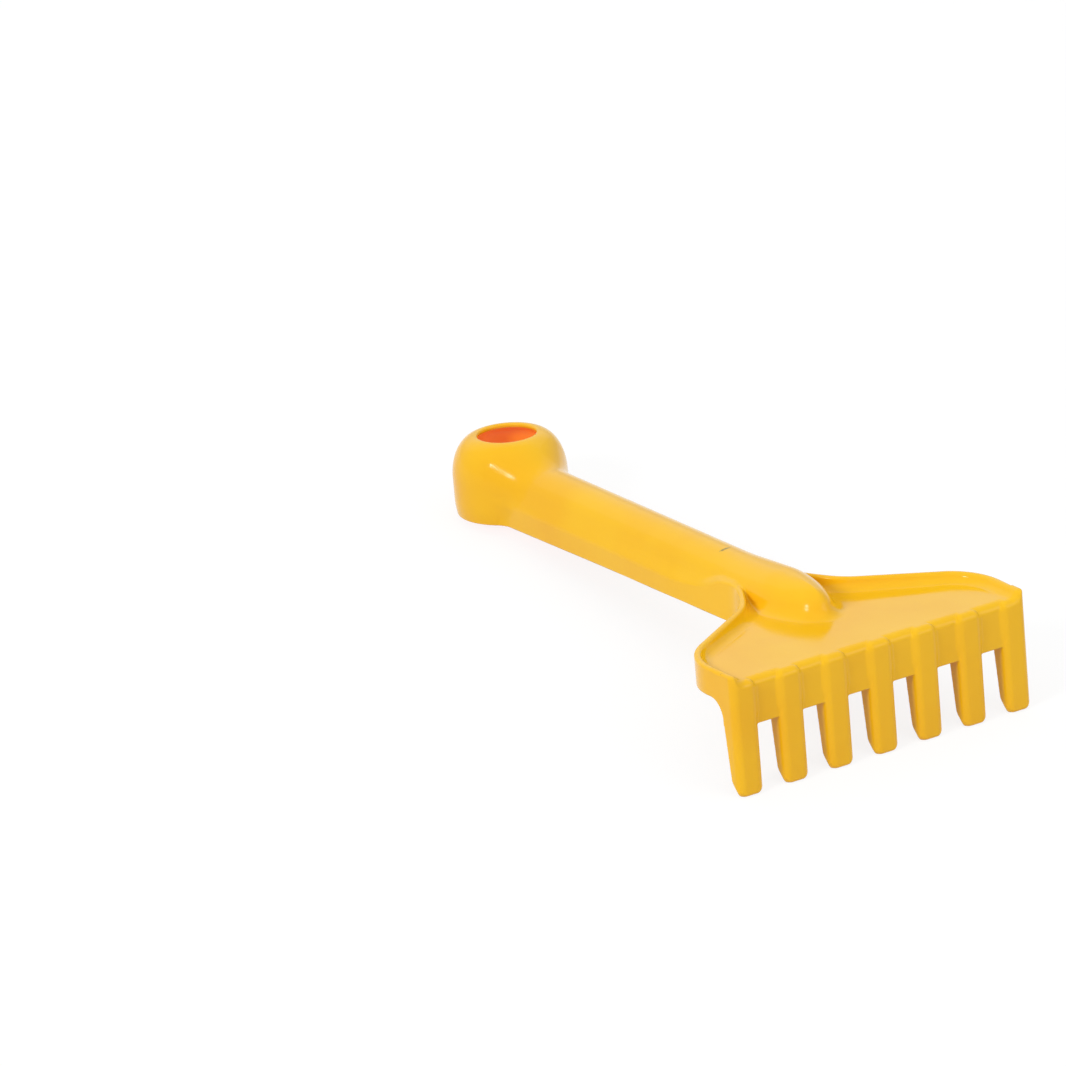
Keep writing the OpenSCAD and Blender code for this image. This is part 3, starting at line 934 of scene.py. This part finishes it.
def plastic():
    """Glossy yellow plastic: flow shades in the colour, rubbed edges, a grainier hollow side,
    a painted deeper shade and a painted emission of light inside the ring, and a nick in the handle."""
    name = "Yellow moulding"
    if name in bpy.data.materials:
        return bpy.data.materials[name]
    finish = bpy.context.scene.rake_finish
    material = bpy.data.materials.new(name)
    material.use_nodes = True
    tree = material.node_tree
    shader = tree.nodes["Principled BSDF"]
    where = tree.nodes.new("ShaderNodeTexCoord").outputs["Object"]

    def mark(label):
        node = tree.nodes.new("ShaderNodeAttribute")
        node.attribute_name = label
        return node.outputs["Fac"]

    def group(node_tree, **values):
        node = tree.nodes.new("ShaderNodeGroup")
        node.node_tree = node_tree
        for label, value in values.items():
            tree.links.new(value, node.inputs[label])
        return node.outputs[0]

    edge, core = mark(EDGE_NAME), mark(CORE_NAME)
    rubbed = group(rubbed_edges(), Vector=where, Edge=edge)
    height = group(moulded_grain(), Vector=where, Core=core)
    flow = ramp_node(tree, noise_node(tree, where, FLOW_SCALE, 3.0), *FLOW_BAND)
    shade = mix_node(tree, flow, finish.yellow, finish.deep)
    faint = math_node(tree, "MULTIPLY", rubbed, RUBBED_COLOUR)
    split = tree.nodes.new("ShaderNodeSeparateXYZ")
    tree.links.new(where, split.inputs["Vector"])
    # Painted shade and painted light inside the ring: this mask gives the hollow side there its deeper orange and
    # its emission
    ring_painted_shade_and_light = math_node(tree, "MULTIPLY", core, ramp_node(tree, split.outputs["X"], *PAINTED_RING_BAND))
    # Rubbed-edge wear, then the painted shade inside the ring
    worn_and_painted_shade = mix_node(tree, ring_painted_shade_and_light, mix_node(tree, faint, shade, finish.scuff), finish.inner)
    tree.links.new(mix_node(tree, nick_mask(tree, where), worn_and_painted_shade, finish.nick), shader.inputs["Base Color"])
    handled = ramp_node(tree, noise_node(tree, where, HANDLED_SCALE, 5.0), *HANDLED_BAND)
    rough = finish.gloss
    for mask, added in ((handled, HANDLED_ROUGH), (rubbed, RUBBED_ROUGH), (core, CORE_ROUGH)):
        rough = math_node(tree, "MULTIPLY_ADD", mask, added, rough)
    tree.links.new(rough, shader.inputs["Roughness"])
    bump = tree.nodes.new("ShaderNodeBump")
    bump.inputs["Strength"].default_value = BUMP_STRENGTH
    bump.inputs["Distance"].default_value = BUMP_HEIGHT
    tree.links.new(height, bump.inputs["Height"])
    tree.links.new(bump.outputs["Normal"], shader.inputs["Normal"])
    shader.inputs["IOR"].default_value = 1.5
    shader.inputs["Specular IOR Level"].default_value = finish.shine
    # Painted light: emission on the hollow side inside the ring that stands in for light through the thin wall
    tree.links.new(mix_node(tree, ring_painted_shade_and_light, (0.0, 0.0, 0.0), finish.painted_glow), shader.inputs["Emission Color"])
    shader.inputs["Emission Strength"].default_value = 1.0
    return material


def floor_material():
    """Pale floor that the camera and the skin's reflections see as white, and that keeps a soft shadow."""
    material = bpy.data.materials.new("Pale floor")
    material.use_nodes = True
    tree = material.node_tree
    tree.nodes.clear()
    add, join = tree.nodes.new, tree.links.new
    pale, dim = add("ShaderNodeBsdfDiffuse"), add("ShaderNodeBsdfDiffuse")
    pale.inputs["Color"].default_value = (*bpy.context.scene.rake_stage.floor, 1.0)
    dim.inputs["Color"].default_value = (FLOOR_SHADE, FLOOR_SHADE, FLOOR_SHADE, 1.0)
    white = add("ShaderNodeEmission")
    white.inputs["Strength"].default_value = FLOOR_WHITE
    seen = add("ShaderNodeAddShader")
    join(dim.outputs[0], seen.inputs[0])
    join(white.outputs[0], seen.inputs[1])
    path, mix, out = add("ShaderNodeLightPath"), add("ShaderNodeMixShader"), add("ShaderNodeOutputMaterial")
    glossy = math_node(tree, "MAXIMUM", path.outputs["Is Glossy Ray"], path.outputs["Is Transmission Ray"])
    join(math_node(tree, "MAXIMUM", path.outputs["Is Camera Ray"], glossy), mix.inputs["Fac"])
    join(pale.outputs[0], mix.inputs[1])
    join(seen.outputs[0], mix.inputs[2])
    join(mix.outputs[0], out.inputs["Surface"])
    return material


def light_sky(tree, horizon, zenith):
    """White light all round, stronger overhead, with a least strength where the skin mirrors it."""
    sky = tree.nodes["Background"]
    where, split = tree.nodes.new("ShaderNodeTexCoord"), tree.nodes.new("ShaderNodeSeparateXYZ")
    tree.links.new(where.outputs["Generated"], split.inputs["Vector"])
    strength = ramp_node(tree, split.outputs["Z"], *SKY_BAND)
    strength.node.inputs["To Min"].default_value = horizon
    strength.node.inputs["To Max"].default_value = zenith
    path = tree.nodes.new("ShaderNodeLightPath")
    mirrored = math_node(tree, "MULTIPLY", path.outputs["Is Glossy Ray"], SKY_MIRRORED)
    tree.links.new(math_node(tree, "MAXIMUM", strength, mirrored), sky.inputs["Strength"])
    sky.inputs["Color"].default_value = (1.0, 1.0, 1.0, 1.0)


def direction(turn, rise):
    """The direction at these angles from +X and above the horizon."""
    return Vector((math.cos(turn) * math.cos(rise), math.sin(turn) * math.cos(rise), math.sin(rise)))


def soft_lamp(scene, name, place, radiance, heading=0.0):
    """A soft lamp that faces the rake."""
    turn, rise, wide, high = place
    out = direction(heading + math.radians(turn), math.radians(rise))
    data = bpy.data.lights.new(name, "AREA")
    data.shape, data.size, data.size_y = "RECTANGLE", wide, high
    data.energy = radiance * math.pi * wide * high
    lamp = bpy.data.objects.new(name, data)
    lamp.matrix_world = Matrix.Translation(out * LAMP_DISTANCE) @ out.to_track_quat("Z", "Y").to_matrix().to_4x4()
    scene.collection.objects.link(lamp)
    return lamp


# Operators

class RAKE_OT_ring(bpy.types.Operator):
    """Make the domed hang ring"""
    bl_idname = "rake.ring"
    bl_label = "Hang ring"

    def execute(self, context):
        place_regions("hang_ring")
        return {"FINISHED"}


class RAKE_OT_handle(bpy.types.Operator):
    """Make the handle's rounded top and its two side walls"""
    bl_idname = "rake.handle"
    bl_label = "Handle"

    def execute(self, context):
        place_regions("handle_crown", "handle_skirt_left", "handle_skirt_right")
        return {"FINISHED"}


class RAKE_OT_head(bpy.types.Operator):
    """Make the plate, the ridge over it and the two lipped side walls"""
    bl_idname = "rake.head"
    bl_label = "Head"

    def execute(self, context):
        place_regions("ridge", "head_plate", "rim_left", "rim_right")
        return {"FINISHED"}


class RAKE_OT_front_walls(bpy.types.Operator):
    """Make the walls between the teeth, as a row"""
    bl_idname = "rake.front_walls"
    bl_label = "Front walls"

    def execute(self, context):
        teeth = context.scene.rake_teeth
        count = teeth.count - 1
        mesh = row_mesh("front_walls", mesh_of("front_wall", region("wall")), count, -count / 2 * teeth.pitch)
        place_piece("front_walls", mesh, ["front_wall_%d" % (k + 1) for k in range(count)])
        return {"FINISHED"}


class RAKE_OT_teeth(bpy.types.Operator):
    """Make the teeth: a row of like ones, and one at each end that carries the lip"""
    bl_idname = "rake.teeth"
    bl_label = "Teeth"

    def execute(self, context):
        teeth = context.scene.rake_teeth
        inner = teeth.count - 2
        mesh = row_mesh("teeth", mesh_of("tooth", region("tooth")), inner, -(inner - 1) / 2 * teeth.pitch)
        place_piece("teeth", mesh, ["tooth_%d" % (k + 2) for k in range(inner)])
        for side, node in (("left", "tooth_1"), ("right", "tooth_%d" % teeth.count)):
            name = "tooth_" + side
            place_piece(name, mesh_of(name, region(name)), [node])
        return {"FINISHED"}


class RAKE_OT_stage(bpy.types.Operator):
    """Make the floor, the lamps and the camera"""
    bl_idname = "rake.stage"
    bl_label = "Stage"

    def execute(self, context):
        scene, stage = context.scene, context.scene.rake_stage
        scene.view_settings.view_transform = "Standard"
        floor = bpy.data.meshes.new("floor")
        corners = ((-1, -1), (1, -1), (1, 1), (-1, 1))
        floor.from_pydata([(x * FLOOR_REACH, y * FLOOR_REACH, 0.0) for x, y in corners], [], [(0, 1, 2, 3)])
        floor.materials.append(floor_material())
        ground = bpy.data.objects.new("floor", floor)
        scene.collection.objects.link(ground)
        world = bpy.data.worlds.new("Studio")
        scene.world = world
        world.use_nodes = True
        light_sky(world.node_tree, stage.horizon, stage.zenith)
        lamp = soft_lamp(scene, "lamp", LAMP_PLACE, stage.lamp)
        glint = soft_lamp(scene, "glint", GLINT_PLACE, stage.lamp)
        lamp.visible_glossy = glint.visible_diffuse = False
        soft_lamp(scene, "screen", SCREEN_PLACE, stage.screen, stage.heading)
        soft_lamp(scene, "fill", FILL_PLACE, stage.fill)
        ahead = direction(stage.heading, -stage.elevation)
        turn = ahead.to_track_quat("-Z", "Y") @ Matrix.Rotation(stage.roll, 4, "Z").to_quaternion()
        data = bpy.data.cameras.new("camera")
        data.sensor_width, data.lens, data.clip_end = 36.0, stage.lens, 100.0
        camera = bpy.data.objects.new("camera", data)
        eye = Vector(stage.aim) - ahead * stage.distance
        camera.matrix_world = Matrix.Translation(eye) @ turn.to_matrix().to_4x4()
        scene.collection.objects.link(camera)
        scene.camera = camera
        return {"FINISHED"}


class RAKE_PT_panel(bpy.types.Panel):
    """Sizes, colours and steps of the rake"""
    bl_idname = "RAKE_PT_panel"
    bl_label = "Sand rake"
    bl_space_type = "VIEW_3D"
    bl_region_type = "UI"
    bl_category = "Sand rake"

    def draw(self, context):
        for key in GROUPS:
            group = getattr(context.scene, key)
            box = self.layout.box()
            box.label(text=group.bl_rna.description)
            for name in group.bl_rna.properties.keys():
                if name not in ("rna_type", "name"):
                    box.prop(group, name)
        for step in STEPS:
            self.layout.operator(step.bl_idname)


STEPS = (RAKE_OT_stage, RAKE_OT_ring, RAKE_OT_handle, RAKE_OT_head, RAKE_OT_front_walls, RAKE_OT_teeth)
CLASSES = (*GROUPS.values(), *STEPS, RAKE_PT_panel)


def register():
    for cls in CLASSES:
        bpy.utils.register_class(cls)
    for key, group in GROUPS.items():
        setattr(bpy.types.Scene, key, bpy.props.PointerProperty(type=group))


def unregister():
    for key in GROUPS:
        delattr(bpy.types.Scene, key)
    for cls in reversed(CLASSES):
        bpy.utils.unregister_class(cls)


def main():
    register()
    bpy.ops.rake.stage()
    bpy.ops.rake.ring()
    bpy.ops.rake.handle()
    bpy.ops.rake.head()
    bpy.ops.rake.front_walls()
    bpy.ops.rake.teeth()


if __name__ == "__main__":
    main()
